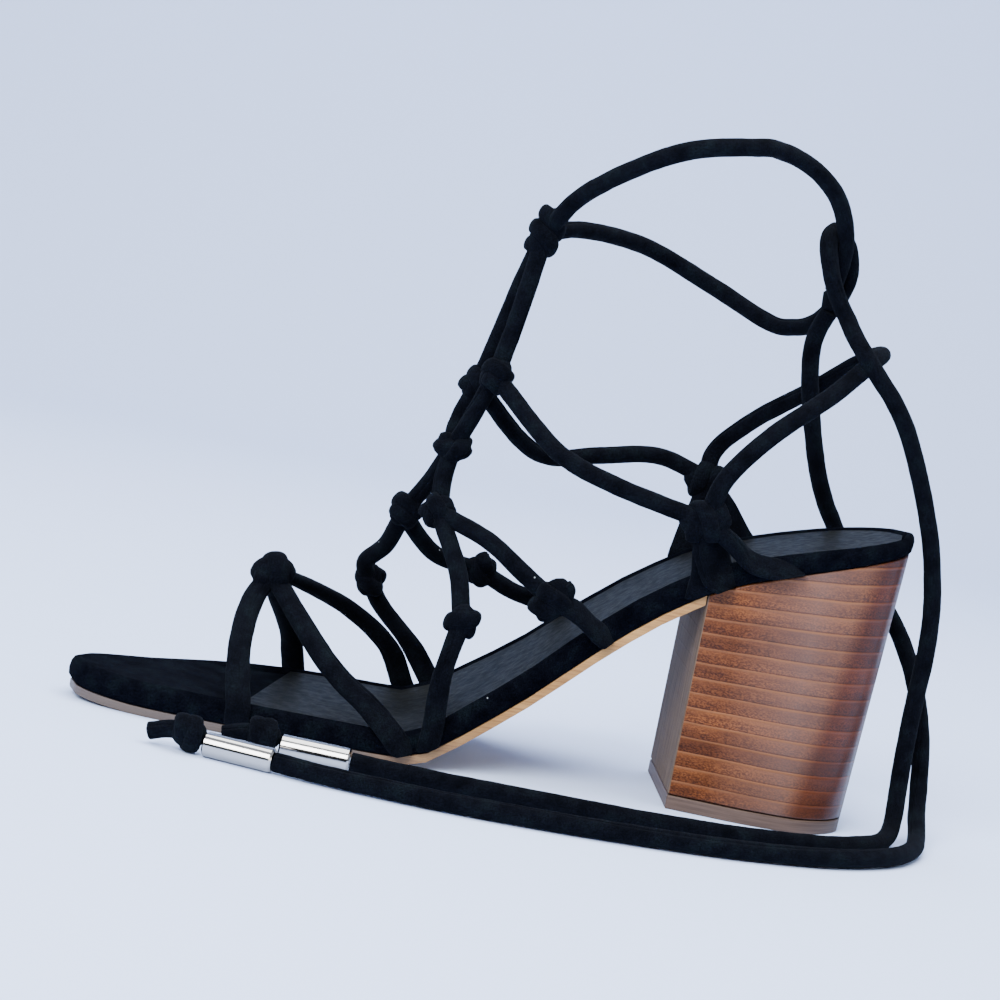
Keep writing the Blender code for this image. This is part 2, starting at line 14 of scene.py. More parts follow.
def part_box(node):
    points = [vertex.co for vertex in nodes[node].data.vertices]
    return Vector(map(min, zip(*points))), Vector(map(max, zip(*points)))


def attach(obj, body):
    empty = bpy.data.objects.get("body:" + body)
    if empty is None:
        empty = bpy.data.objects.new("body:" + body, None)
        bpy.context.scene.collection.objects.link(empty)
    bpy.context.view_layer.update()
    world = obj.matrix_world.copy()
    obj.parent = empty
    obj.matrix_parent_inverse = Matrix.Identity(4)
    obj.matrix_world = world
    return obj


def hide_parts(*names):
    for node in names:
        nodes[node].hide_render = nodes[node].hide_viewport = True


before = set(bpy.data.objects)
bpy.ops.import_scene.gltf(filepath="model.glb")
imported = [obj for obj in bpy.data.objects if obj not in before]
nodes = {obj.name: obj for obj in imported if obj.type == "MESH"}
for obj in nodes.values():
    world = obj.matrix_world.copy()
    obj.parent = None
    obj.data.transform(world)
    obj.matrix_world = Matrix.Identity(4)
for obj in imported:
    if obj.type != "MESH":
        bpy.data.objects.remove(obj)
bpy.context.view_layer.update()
MM = 0.001


# Outsole: a thin sheet of tan rubber with the look of leather, cut to the last and glued under the footbed.
# Its edge is trimmed square, fine lines run along it like a leather's layers, and its underside is buffed.
def start_material(name, sockets):
    """A new material, with the named sockets of its shader set."""
    made = bpy.data.materials.new(name)
    made.use_nodes = True
    for socket, value in sockets.items():
        made.node_tree.nodes["Principled BSDF"].inputs[socket].default_value = value
    return made


def follow(material, socket, value):
    """Sets a socket to a value, or links it to another node's output."""
    if isinstance(value, bpy.types.NodeSocket):
        material.node_tree.links.new(value, socket)
    else:
        socket.default_value = value


def add_node(material, kind, sockets, **settings):
    made = material.node_tree.nodes.new("ShaderNode" + kind)
    for name, value in settings.items():
        setattr(made, name, value)
    for name, value in sockets.items():
        follow(material, made.inputs[name], value)
    return made


def maths(material, operation, *values, clamp=False):
    made = add_node(material, "Math", {}, operation=operation, use_clamp=clamp)
    for socket, value in zip(made.inputs, values):
        follow(material, socket, value)
    return made.outputs[0]


def place_in_mm(material, stretch=(1.0, 1.0, 1.0), turn=(0.0, 0.0, 0.0)):
    """The place on the object in millimetres, drawn out along some axes."""
    place = add_node(material, "TexCoord", {})
    scaled = {
        "Vector": place.outputs["Object"], "Rotation": turn,
        "Scale": [1 / (MM * share) for share in stretch],
    }
    return add_node(material, "Mapping", scaled).outputs[0]


def grain(material, size, stretch=(1.0, 1.0, 1.0), detail=3.0, turn=(0.0, 0.0, 0.0)):
    """Noise whose lumps are about so many millimetres apart."""
    sockets = {"Vector": place_in_mm(material, stretch, turn), "Scale": 1 / size, "Detail": detail}
    return add_node(material, "TexNoise", sockets).outputs[0]


def grey(value):
    return value, value, value


def shades(material, factor, stops):
    """Colours along a factor, from pairs of its value and a colour."""
    made = add_node(material, "ValToRGB", {"Fac": factor})
    elements = made.color_ramp.elements
    for _ in stops[2:]:
        elements.new(0.5)
    for element, (position, colour) in zip(elements, stops):
        element.position = position
        element.color = (*colour, 1.0)
    return made.outputs["Color"]


def mixed(material, factor, first, second, blend="MIX"):
    made = add_node(material, "Mix", {}, data_type="RGBA", blend_type=blend)
    for index, value in ((0, factor), (6, first), (7, second)):
        is_colour = isinstance(value, tuple)
        follow(material, made.inputs[index], (*value, 1.0) if is_colour else value)
    return made.outputs[2]


def bumped(material, height, distance, over=None):
    """A normal that follows a height from 0 to 1, over another normal where one is given."""
    sockets = {"Height": height, "Distance": distance}
    if over is not None:
        sockets["Normal"] = over
    return add_node(material, "Bump", sockets).outputs["Normal"]


def finish_material(material, **links):
    """Links the shader's colour, roughness or normal to what the other nodes give."""
    names = {"colour": "Base Color", "roughness": "Roughness", "normal": "Normal"}
    for key, value in links.items():
        follow(material, material.node_tree.nodes["Principled BSDF"].inputs[names[key]], value)
    return material


def make_outsole_sheet():
    sheet = start_material("outsole_sheet", {"Roughness": 0.55, "Specular IOR Level": 0.4})
    layers = grain(sheet, 0.55, stretch=(60.0, 60.0, 1.0), detail=2.0)
    fibres = grain(sheet, 0.4, detail=4.0)
    tone = shades(sheet, layers, ((0.30, (0.290, 0.130, 0.034)), (0.62, (0.475, 0.245, 0.074))))
    scuffs = shades(sheet, grain(sheet, 14.0), ((0.45, grey(1.0)), (0.72, (0.80, 0.74, 0.68))))
    colour = mixed(sheet, 1.0, tone, scuffs, "MULTIPLY")
    place = add_node(sheet, "SeparateXYZ", {"Vector": place_in_mm(sheet)})
    # Colour darker towards the toe: mixed towards dark brown-grey from X = 5 mm forwards over 38 mm.
    darker_to_toe = maths(sheet, "DIVIDE", maths(sheet, "SUBTRACT", 5.0, place.outputs["X"]), 38.0, clamp=True)
    colour = mixed(sheet, maths(sheet, "MULTIPLY", darker_to_toe, 0.90), colour, (0.060, 0.052, 0.050))
    worn = shades(sheet, fibres, ((0.35, grey(0.45)), (0.65, grey(0.70))))
    normal = bumped(sheet, fibres, 0.05 * MM, bumped(sheet, layers, 0.06 * MM))
    return finish_material(sheet, colour=colour, roughness=worn, normal=normal)


WELD_DISTANCE = 0.01 * MM
ROUND_ANGLE = math.radians(38)
SPLIT_ANGLE = math.radians(42)


def dress(name, material, edge=0.0):
    """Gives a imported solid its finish, with smooth shading between sharp edges, or a small round on them."""
    solid = nodes[name]
    solid.data.materials.clear()
    solid.data.materials.append(material)
    if "custom_normal" in solid.data.attributes:
        solid.data.attributes.remove(solid.data.attributes["custom_normal"])
    solid.data.shade_smooth()
    weld = solid.modifiers.new("weld", "WELD")
    weld.merge_threshold = WELD_DISTANCE
    if edge:
        rounding = solid.modifiers.new("rounded_edges", "BEVEL")
        rounding.width = edge
        rounding.segments = 3
        rounding.angle_limit = ROUND_ANGLE
        solid.modifiers.new("even_faces", "WEIGHTED_NORMAL")
    else:
        split = solid.modifiers.new("sharp_edges", "EDGE_SPLIT")
        split.split_angle = SPLIT_ANGLE


dress("outsole", make_outsole_sheet())


# Footbed: a board moulded to the last, with its top front and its whole rim wrapped in black suede.
# The suede is drawn tight round the edge and glued under, so it has nap and soft wrinkles but no seam.
def make_suede(name, lint, nap):
    """Black suede: patches of brushed nap, short fibres, and a few specks of lint."""
    suede = start_material(name, {
        "Roughness": 0.95, "Specular IOR Level": 2.5 * nap,
        "Sheen Weight": nap, "Sheen Roughness": 0.55, "Sheen Tint": (0.62, 0.72, 0.92, 1.0),
    })
    patches = grain(suede, 5.5, detail=5.0)
    fibres = grain(suede, 0.30, detail=4.0)
    deep, plain, brushed = (0.0007, 0.0009, 0.0018), (0.0017, 0.0020, 0.0036), (0.0028, 0.0042, 0.0058)
    tone = shades(suede, patches, ((0.30, deep), (0.50, plain), (0.72, brushed)))
    flecks = shades(suede, fibres, ((0.40, grey(0.45)), (0.62, grey(1.85))))
    colour = mixed(suede, 1.0, tone, flecks, "MULTIPLY")
    cells = add_node(suede, "TexVoronoi", {"Vector": place_in_mm(suede), "Scale": lint})
    near = maths(suede, "LESS_THAN", cells.outputs["Distance"], 0.21 * lint)
    channels = add_node(suede, "SeparateColor", {"Color": cells.outputs["Color"]})
    chosen = maths(suede, "LESS_THAN", channels.outputs[0], 0.17)
    speck = maths(suede, "MULTIPLY", near, chosen)
    colour = mixed(suede, speck, colour, (0.30, 0.32, 0.33))
    normal = bumped(suede, grain(suede, 1.6, detail=2.0), 0.16 * MM)
    normal = bumped(suede, fibres, 0.15 * MM, normal)
    return finish_material(suede, colour=colour, normal=normal)


dress("footbed", make_suede("flat_suede", 0.16, 0.002))


# Insole sock: smooth dark grey leather with a cut edge, glued on the footbed behind a slanting front edge.
# It is left plain, and has a satin finish with fine creases along the arch.
def make_sock_leather():
    leather = start_material("sock_leather", {
        "Roughness": 0.58, "Specular IOR Level": 0.013,
    })
    soft = grain(leather, 16.0, stretch=(2.0, 1.0, 1.0))
    tone = shades(leather, soft, ((0.35, (0.0052, 0.0056, 0.0062)), (0.68, (0.0100, 0.0106, 0.0114))))
    cells = {"Vector": place_in_mm(leather), "Scale": 1.6}
    pores = add_node(leather, "TexVoronoi", cells, feature="SMOOTH_F1")
    pore = shades(leather, pores.outputs["Distance"], ((0.10, grey(0.0)), (0.55, grey(1.0))))
    creases = grain(leather, 3.2, stretch=(1.0, 7.0, 1.0), detail=2.0)
    rough = shades(leather, grain(leather, 2.5), ((0.35, grey(0.50)), (0.70, grey(0.64))))
    normal = bumped(leather, pore, 0.035 * MM, bumped(leather, creases, 0.06 * MM))
    return finish_material(leather, colour=tone, roughness=rough, normal=normal)


dress("insole_sock", make_sock_leather())


# Heel: a block covered in varnished stacked leather, thin layers with a pale glue line between each two.
# The layers lie level at the floor and fan upwards at the top, and the breast has a plain greyer cover.
# A painted dark reflection darkens and reddens a slanting band near the back.
# A painted sheen lightens the middle of the side, as if the varnish reflected soft light.
LAYER = 4.35 * MM
FAN_FROM, FAN_OVER, FAN_RISE = 10.0 * MM, 75.0 * MM, 0.13
LAYER_SWAY = 1.1 * MM
# Centre of the painted sheen, measured back from the breast, and how far it reaches.
PAINTED_SHEEN_MIDDLE, PAINTED_SHEEN_REACH = 31.0 * MM, 21.0 * MM
# Start, width and forward slant of the painted dark reflection near the back.
DARK_REFLECTION_FROM, DARK_REFLECTION_OVER, DARK_REFLECTION_RAKE = 31.5 * MM, 5.0 * MM, 0.17
BREAST_DEPTH = 0.35 * MM
heel_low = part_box("heel_block")[0]


def make_stacked_leather():
    """Layers that fan out towards the back, pale at their tops and flecked below, and a plain breast."""
    stack = start_material("stacked_leather", {"Roughness": 0.34, "Specular IOR Level": 0.16})
    place = add_node(stack, "TexCoord", {})
    axes = add_node(stack, "SeparateXYZ", {"Vector": place.outputs["Object"]})
    height, back = axes.outputs["Z"], axes.outputs["X"]
    behind = maths(stack, "SUBTRACT", back, heel_low.x)
    up = maths(stack, "DIVIDE", maths(stack, "SUBTRACT", height, FAN_FROM), FAN_OVER, clamp=True)
    squared = maths(stack, "MULTIPLY", up, up)
    fan = maths(stack, "MULTIPLY", squared, maths(stack, "MULTIPLY", behind, FAN_RISE))
    uneven = maths(stack, "SUBTRACT", grain(stack, 34.0, detail=1.0), 0.5)
    sway = maths(stack, "MULTIPLY", uneven, LAYER_SWAY)
    level = maths(stack, "ADD", maths(stack, "SUBTRACT", height, fan), sway)
    layer = maths(stack, "DIVIDE", level, LAYER)
    share = maths(stack, "FRACT", layer)
    flecks = grain(stack, 0.36, stretch=(1.9, 1.9, 1.0), detail=4.0)
    body = shades(stack, flecks, (
        (0.38, (0.042, 0.013, 0.0042)), (0.49, (0.088, 0.0275, 0.0082)), (0.61, (0.142, 0.048, 0.0138)),
    ))
    calm = shades(stack, share, ((0.35, grey(0.0)), (0.80, grey(0.62))))
    body = mixed(stack, calm, body, (0.112, 0.038, 0.0115))
    number = add_node(stack, "TexWhiteNoise", {"W": maths(stack, "FLOOR", layer)}, noise_dimensions="1D")
    body = mixed(stack, 1.0, body, shades(stack, number.outputs["Value"], (
        (0.0, (0.80, 0.74, 0.72)), (1.0, (1.20, 1.22, 1.24)),
    )), "MULTIPLY")
    fibres = grain(stack, 0.9, stretch=(14.0, 14.0, 1.0), detail=3.0)
    body = mixed(stack, 1.0, body, shades(stack, fibres, (
        (0.34, (0.80, 0.76, 0.74)), (0.62, (1.16, 1.14, 1.12)),
    )), "MULTIPLY")
    cloudy = grain(stack, 8.0, stretch=(3.0, 3.0, 1.0))
    body = mixed(stack, 1.0, body, shades(stack, cloudy, (
        (0.36, (0.78, 0.72, 0.70)), (0.64, (1.22, 1.18, 1.14)),
    )), "MULTIPLY")
    within = shades(stack, share, (
        (0.0, (0.85, 0.81, 0.80)), (0.45, (0.97, 0.96, 0.95)), (0.80, (1.14, 1.13, 1.11)),
    ))
    body = mixed(stack, 1.0, body, within, "MULTIPLY")
    # Painted sheen: the colour is veiled with greyish mauve, most in the middle of the side, standing in for
    # reflected soft light.
    off_middle = maths(stack, "DIVIDE", maths(stack, "SUBTRACT", behind, PAINTED_SHEEN_MIDDLE), PAINTED_SHEEN_REACH)
    painted_sheen = maths(stack, "SUBTRACT", 1.0, maths(stack, "ABSOLUTE", off_middle), clamp=True)
    body = mixed(stack, maths(stack, "MULTIPLY", painted_sheen, 0.46), body, (0.165, 0.105, 0.088))
    line = shades(stack, share, (
        (0.0, grey(0.0)), (0.80, grey(0.0)), (0.90, grey(1.0)), (0.955, grey(1.0)), (0.98, grey(0.0)),
    ))
    patchy = shades(stack, grain(stack, 3.0, stretch=(6.0, 6.0, 1.0)), (
        (0.30, grey(0.45)), (0.60, grey(1.0)),
    ))
    glue = mixed(stack, 1.0, line, patchy, "MULTIPLY")
    body = mixed(stack, mixed(stack, 0.60, grey(0.0), glue), body, (0.245, 0.096, 0.036))
    shadow = shades(stack, share, ((0.0, (0.48, 0.40, 0.37)), (0.09, grey(1.0))))
    body = mixed(stack, 0.9, body, shadow, "MULTIPLY")
    # Painted dark reflection: a slanting band near the back is darkened and reddened, standing in for varnish
    # that reflects dark surroundings.
    slant = maths(stack, "SUBTRACT", behind, maths(stack, "MULTIPLY", height, DARK_REFLECTION_RAKE))
    painted_dark_reflection = maths(stack, "DIVIDE", maths(stack, "SUBTRACT", slant, DARK_REFLECTION_FROM), DARK_REFLECTION_OVER, clamp=True)
    body = mixed(stack, maths(stack, "MULTIPLY", painted_dark_reflection, 0.85), body,
                 mixed(stack, 1.0, body, (0.52, 0.27, 0.13), "MULTIPLY"))
    streaks = grain(stack, 0.42, stretch=(1.0, 1.0, 30.0), detail=4.0)
    breast = shades(stack, streaks, ((0.34, (0.070, 0.044, 0.029)), (0.64, (0.134, 0.090, 0.061))))
    at_breast = maths(stack, "LESS_THAN", behind, BREAST_DEPTH)
    colour = mixed(stack, at_breast, body, breast)
    varnished = maths(stack, "ADD", 0.25, maths(stack, "MULTIPLY", flecks, 0.20))
    rough = maths(stack, "ADD", varnished, maths(stack, "MULTIPLY", at_breast, 0.50))
    normal = bumped(stack, line, 0.06 * MM, bumped(stack, flecks, 0.035 * MM))
    return finish_material(stack, colour=colour, roughness=rough, normal=normal)


dress("heel_block", make_stacked_leather(), edge=0.5 * MM)


# Top lift: one layer of greyish brown rubber, cut to the heel and nailed and glued under it.
# Its side is sanded flush, so it is duller than the varnished block and has fine streaks round it.
def make_lift_rubber():
    rubber = start_material("lift_rubber", {"Roughness": 0.58, "Specular IOR Level": 0.35})
    streaks = grain(rubber, 0.5, stretch=(30.0, 30.0, 1.0), detail=3.0)
    tone = shades(rubber, streaks, ((0.35, (0.060, 0.034, 0.023)), (0.65, (0.092, 0.055, 0.039))))
    return finish_material(rubber, colour=tone, normal=bumped(rubber, streaks, 0.04 * MM))


dress("top_lift", make_lift_rubber(), edge=0.4 * MM)


# Toe strap: two suede cords tied over the toes in one overhand knot, with two legs to each side.
# A cord is a strip of suede folded round a soft core and glued, so a fine seam runs along it, and each
# leg is pressed flat over the rim and clamped between footbed and outsole.
footbed_low, footbed_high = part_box("footbed")
SHOE_LENGTH = footbed_high.x - footbed_low.x
BALL_WIDTH = footbed_high.y - footbed_low.y
RIM_HEIGHT = 6.8 * MM
TOE_STRAP_RISE = 33.0 * MM
TOE_CORD_WIDTH = 6.6 * MM
TOE_CORD_THICKNESS = 4.0 * MM
TOE_LEG_PRESSED = 7.0 * MM
RIM_CORD_THICKNESS = 2.4 * MM
CORD_STEP = 1.1 * MM
CORD_POINTS = 26
TOE_KNOT = (0.219, -0.025, 1.000, 2.1, 1.7, 1.7, 10)
black_suede = make_suede("black_suede", 0.16, 0.010)
TOE_LEGS = (
    (((0.202, -0.110, 0.770), (0.198, -0.290, 0.470), (0.205, -0.440, 0.185)), -1, 0.2130, 0.5 * MM),
    (((0.250, -0.130, 0.770), (0.310, -0.330, 0.390), (0.366, -0.450, 0.150)), -1, 0.4085, 6.5 * MM),
    (((0.232, 0.110, 0.730), (0.252, 0.300, 0.400)), 1, 0.2680, 2.0 * MM),
    (((0.262, 0.120, 0.900), (0.323, 0.300, 0.690), (0.380, 0.420, 0.380)), 1, 0.4200, 5.0 * MM),
)
footbed_surface = BVHTree.FromPolygons(
    [vertex.co for vertex in nodes["footbed"].data.vertices],
    [face.vertices for face in nodes["footbed"].data.polygons],
)


def footbed_under(x):
    return footbed_surface.ray_cast(Vector((x, 0.0, -1.0)), Vector((0.0, 0.0, 1.0)))[0].z


def footbed_top(x):
    """Height of the rim, which stands a little above the sock inside it."""
    low = footbed_under(x) + 2.4 * MM
    edge = footbed_surface.ray_cast(Vector((x, -BALL_WIDTH, low)), Vector((0.0, 1.0, 0.0)))[0]
    return footbed_surface.ray_cast(Vector((x, edge.y + 2.3 * MM, 1.0)), Vector((0.0, 0.0, -1.0)))[0].z


def rim_at(side, x, down, clear):
    """A place beside the footbed's rim, from 0 at its top to 1 at its underside, so much clear of it."""
    middle = (footbed_top(x) + footbed_under(x)) / 2
    edge = footbed_surface.ray_cast(Vector((x, side * BALL_WIDTH, middle)), Vector((0.0, -side, 0.0)))[0]
    return Vector((x, edge.y + side * clear, footbed_top(x) + down * (footbed_under(x) - footbed_top(x))))


def placed(row, rise):
    """A place over the footbed from shares along, across and up."""
    x = footbed_low.x + row[0] * SHOE_LENGTH
    return Vector((x, row[1] * BALL_WIDTH, footbed_top(x) + row[2] * rise))


def smooth_route(points, step):
    """Points a step apart on a smooth curve through the given ones."""
    ends = [2 * points[0] - points[1], *points, 2 * points[-1] - points[-2]]
    fine = []
    for before, start, end, after in zip(ends, ends[1:], ends[2:], ends[3:]):
        for i in range(12):
            t = i / 12
            fine.append(0.5 * (
                2 * start + (end - before) * t + (2 * before - 5 * start + 4 * end - after) * t * t
                + (3 * start - before - 3 * end + after) * t ** 3
            ))
    fine.append(points[-1].copy())
    run = np.cumsum([0.0] + [(b - a).length for a, b in zip(fine, fine[1:])])
    wanted = np.linspace(0.0, run[-1], max(4, round(run[-1] / step) + 1))
    columns = [np.interp(wanted, run, [point[axis] for point in fine]) for axis in range(3)]
    return np.array(columns).T


def unit(rows):
    return rows / np.linalg.norm(rows, axis=1, keepdims=True)


def outwards(route):
    """The direction away from the foot at each point of a route."""
    return np.array([(0.0, y, 0.35 * BALL_WIDTH) for y in route[:, 1]])


def rough_noise(points, size):
    """Smooth noise from about -1 to 1 at each point."""
    values = [noise.noise(Vector(point) / size) for point in points.reshape(-1, 3)]
    return np.array(values).reshape(points.shape[:-1])


# The seam's groove and the lip beside it, as shares of the cord's radius and in radians round it
SEAM_DEPTH, SEAM_WIDTH = 0.090, 0.10
LIP_HEIGHT, LIP_PLACE, LIP_WIDTH = 0.045, 0.34, 0.20
SEAM_CROWDING = 0.72
SEAM_WANDER, WANDER_LENGTH = 0.25, 21.0 * MM
LUMPS = ((0.10 * MM, 4.5 * MM), (0.05 * MM, 1.3 * MM))


def tube(route, widths, depths, outs, squareness=2.0, seam_at=0.5, seam=1.0):
    """A closed tube along a route: as wide across and as deep outwards as listed, with its glued seam."""
    count = len(route)
    ahead = unit(np.gradient(route, axis=0))
    outs = unit(outs - (outs * ahead).sum(1)[:, None] * ahead)
    across = np.cross(ahead, outs)
    steps = 2 * math.pi * np.arange(CORD_POINTS) / CORD_POINTS
    from_seam = steps - SEAM_CROWDING * np.sin(steps)
    signed = np.where(from_seam > math.pi, from_seam - 2 * math.pi, from_seam)
    groove = -SEAM_DEPTH * np.exp(-(signed / SEAM_WIDTH) ** 2)
    groove += LIP_HEIGHT * np.exp(-((signed - LIP_PLACE) / LIP_WIDTH) ** 2)
    wander = SEAM_WANDER * np.sin(np.arange(count) * CORD_STEP / WANDER_LENGTH + 7.0 * seam_at)
    turn = (2 * math.pi * seam_at + wander)[:, None] + from_seam[None, :]
    power = 2.0 / np.broadcast_to(squareness, (count,))[:, None]
    cosine = np.sign(np.cos(turn)) * np.abs(np.cos(turn)) ** power
    sine = np.sign(np.sin(turn)) * np.abs(np.sin(turn)) ** power
    reach = 1.0 + seam * groove[None, :]
    half_width, half_depth = np.asarray(widths)[:, None] / 2, np.asarray(depths)[:, None] / 2
    rings = (route[:, None, :] + (cosine * reach * half_width)[..., None] * across[:, None, :]
             + (sine * reach * half_depth)[..., None] * outs[:, None, :])
    lumps = sum(height * rough_noise(rings, size) for height, size in LUMPS)
    rings += lumps[..., None] * unit((rings - route[:, None, :]).reshape(-1, 3)).reshape(rings.shape)
    points = np.concatenate([rings.reshape(-1, 3), route[:1], route[-1:]])
    faces = []
    for i in range(count - 1):
        for k in range(CORD_POINTS):
            j = (k + 1) % CORD_POINTS
            low, high = i * CORD_POINTS, (i + 1) * CORD_POINTS
            faces.append((low + k, low + j, high + j, high + k))
    last = (count - 1) * CORD_POINTS
    for k in range(CORD_POINTS):
        j = (k + 1) % CORD_POINTS
        faces.append((j, k, count * CORD_POINTS))
        faces.append((last + k, last + j, count * CORD_POINTS + 1))
    return points, faces


def join_tubes(name, tubes, material):
    """One piece from several closed tubes."""
    points, faces, start = [], [], 0
    for places, corners in tubes:
        points.append(places)
        faces += [tuple(start + corner for corner in face) for face in corners]
        start += len(places)
    mesh = bpy.data.meshes.new(name)
    mesh.from_pydata(np.concatenate(points).tolist(), [], faces)
    mesh.shade_smooth()
    mesh.set_sharp_from_angle(angle=math.radians(60))
    mesh.materials.append(material)
    piece = bpy.data.objects.new(name, mesh)
    bpy.context.scene.collection.objects.link(piece)
    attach(piece, "root")
    return piece


# Where a leg goes at the rim: shares of the way down, and how far it is tucked in there
RIM_PLACES = ((0.02, 0.1 * MM), (0.50, 0.0), (1.05, 1.2 * MM))
LEG_CLEARANCE = 0.2 * MM
PRESSED_FROM, PRESSED_OVER = 3.8 * RIM_HEIGHT, 1.5 * RIM_HEIGHT
TUCKED_SHARE, TUCKED_LENGTH = 0.35, 4.5 * MM
OFF_UNDERSIDE = 0.4 * MM


def leg_tube(knot, passed, side, along, slant, pressed, rise, wide, deep, seam_at):
    """A leg from a knot to the rim, which it crosses aslant, pressed to a width and tucked in below."""
    clear = LEG_CLEARANCE + RIM_CORD_THICKNESS / 2
    crossing = footbed_low.x + along * SHOE_LENGTH
    points = [knot, *(placed(row, rise) for row in passed)]
    for down, tucked in RIM_PLACES:
        points.append(rim_at(side, crossing + slant * (down - 0.5), down, clear - tucked))
    route = smooth_route(points, CORD_STEP)
    left = (len(route) - 1 - np.arange(len(route))) * CORD_STEP
    flat = np.clip((PRESSED_FROM - left) / PRESSED_OVER, 0.0, 1.0)
    flat = flat * flat * (3 - 2 * flat)
    widths = wide + (pressed - wide) * flat
    depths = deep + (RIM_CORD_THICKNESS - deep) * flat
    depths = depths * np.clip(TUCKED_SHARE + left / TUCKED_LENGTH, 0.0, 1.0)
    points, faces = tube(route, widths, depths, outwards(route), 2.0 + 0.5 * flat, seam_at)
    for point in points:
        point[2] = max(point[2], footbed_under(point[0]) + OFF_UNDERSIDE)
    return points, faces


def knot_axes(centre, lean):
    """A knot's long, wide and outward directions, from the lean of its long side in degrees."""
    long = Vector((math.cos(math.radians(lean)), 0.0, math.sin(math.radians(lean))))
    at_side = abs(centre.y) > 0.3 * BALL_WIDTH
    out = Vector((0.0, math.copysign(1.0, centre.y), 0.0)) if at_side else Vector((-0.5, 0.0, 0.866))
    out = (out - out.dot(long) * long).normalized()
    return long, long.cross(out), out


# A knot's core and the band that wraps it, as shares of the knot or of the cord
CORE_STEPS, CORE_LENGTH, CORE_WIDTH = 15, 0.96, 1.75
BAND_WIDTH, BAND_THICKNESS, BAND_REACH, BAND_TILT = 0.92, 0.60, 1.10, 0.16
STEPS_PER_TURN, FEWEST_STEPS = 34, 24
TUCKED_ENDS, TUCKED_DEEPEST = 0.13, 0.30


def knot_tubes(centre, row, cord, turns=2.0, phase=0.0, hand=1):
    """An overhand knot drawn tight: the cords' squeezed core, and the turns that wrap round it aslant."""
    long, wide, out = (np.array(axis) for axis in knot_axes(centre, row[6]))
    length, width, depth = (share * cord / 2 for share in row[3:6])
    band, thick = BAND_WIDTH * cord, BAND_THICKNESS * cord
    middle = np.array(centre)
    share = np.linspace(-1.0, 1.0, CORE_STEPS)
    core = middle + CORE_LENGTH * length * share[:, None] * long
    swell = CORE_WIDTH * np.sqrt(np.clip(1.0 - share ** 2, 0.02, 1.0))
    tubes = [tube(core, width * swell, depth * swell, np.tile(out, (CORE_STEPS, 1)), 2.0, 0.5, 0.0)]
    count = max(FEWEST_STEPS, round(turns * STEPS_PER_TURN))
    along = np.linspace(0.0, 1.0, count)
    angle = phase + hand * 2 * math.pi * turns * along
    tucked = np.clip(np.minimum(along, 1.0 - along) / TUCKED_ENDS, 0.0, 1.0)
    tucked = TUCKED_DEEPEST + (1.0 - TUCKED_DEEPEST) * tucked * tucked * (3 - 2 * tucked)
    radial = np.cos(angle)[:, None] * wide + np.sin(angle)[:, None] * out
    spread = (2 * length - band) * (along - 0.5) * 0.98
    tilt = BAND_TILT * cord * np.cos(angle - 0.8)
    reach = tucked[:, None] * ((BAND_REACH * width - thick / 2) * np.cos(angle)[:, None] * wide
                               + (BAND_REACH * depth - thick / 2) * np.sin(angle)[:, None] * out)
    route = middle + (spread + tilt)[:, None] * long + reach
    widths = band * (0.80 + 0.20 * tucked)
    tubes.append(tube(route, widths, np.full(count, thick), radial, 2.2, 0.5, 0.6))
    return tubes


toe_knot = placed(TOE_KNOT, TOE_STRAP_RISE)
toe_tubes = knot_tubes(toe_knot, TOE_KNOT, TOE_CORD_WIDTH, 1.7, 0.6, -1)
for number, (passed, side, along, slant) in enumerate(TOE_LEGS):
    toe_tubes.append(leg_tube(toe_knot, passed, side, along, slant, TOE_LEG_PRESSED, TOE_STRAP_RISE,
                              TOE_CORD_WIDTH, TOE_CORD_THICKNESS, 0.30 + 0.11 * number))
toe_strap = join_tubes("suede_toe_strap", toe_tubes, black_suede)
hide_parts("toe_strap")


# Instep net: round suede cords tied to each other in small overhand knots, from the ball to the ankle.
# Two cords climb the instep side by side, one pair of cords goes round behind the heel and one round the
# ankle, and nine legs are pressed flat over the rim and clamped under it.
CORD_DIAMETER = 5.3 * MM
ANKLE_RISE = 136.0 * MM
KNOTS = {
    "over_ball_inner": (0.405, -0.105, 0.440, 2.1, 1.8, 1.8, 60),
    "over_ball_outer": (0.366, 0.115, 0.420, 2.1, 1.8, 1.8, 60),
    "ball_side_inner": (0.454, -0.435, 0.205, 2.0, 1.7, 1.6, 80),
    "ball_side_outer": (0.340, 0.415, 0.232, 2.0, 1.7, 1.6, 80),
    "waist_inner": (0.556, -0.418, 0.140, 2.7, 1.9, 1.6, 70),
    "waist_outer": (0.479, 0.385, 0.226, 2.1, 1.7, 1.6, 40),
    "instep_low": (0.408, 0.000, 0.574, 2.3, 2.3, 1.5, 0),
    "instep_inner": (0.442, -0.060, 0.722, 2.2, 2.0, 1.7, 60),
    "instep_outer": (0.424, 0.065, 0.706, 2.2, 2.0, 1.7, 60),
    "ankle_front": (0.469, 0.000, 1.000, 3.1, 2.1, 1.8, 75),
    "heel_side_inner": (0.717, -0.420, 0.124, 2.9, 2.1, 1.6, 10),
    "heel_side_outer": (0.745, 0.420, 0.150, 2.7, 2.0, 1.6, 10),
}
KNOT_TURNS = {
    "over_ball_inner": (1.8, 0.4, 1), "over_ball_outer": (1.8, 2.0, -1), "ball_side_inner": (1.6, 1.1, -1),
    "ball_side_outer": (1.6, 0.2, 1), "waist_inner": (2.0, 0.9, 1), "waist_outer": (1.8, 2.4, -1),
    "instep_low": (1.4, 0.5, 1), "instep_inner": (1.8, 1.4, -1), "instep_outer": (1.8, 0.1, 1),
    "ankle_front": (2.3, 0.7, 1), "heel_side_inner": (2.0, 1.8, -1), "heel_side_outer": (2.0, 0.3, 1),
}
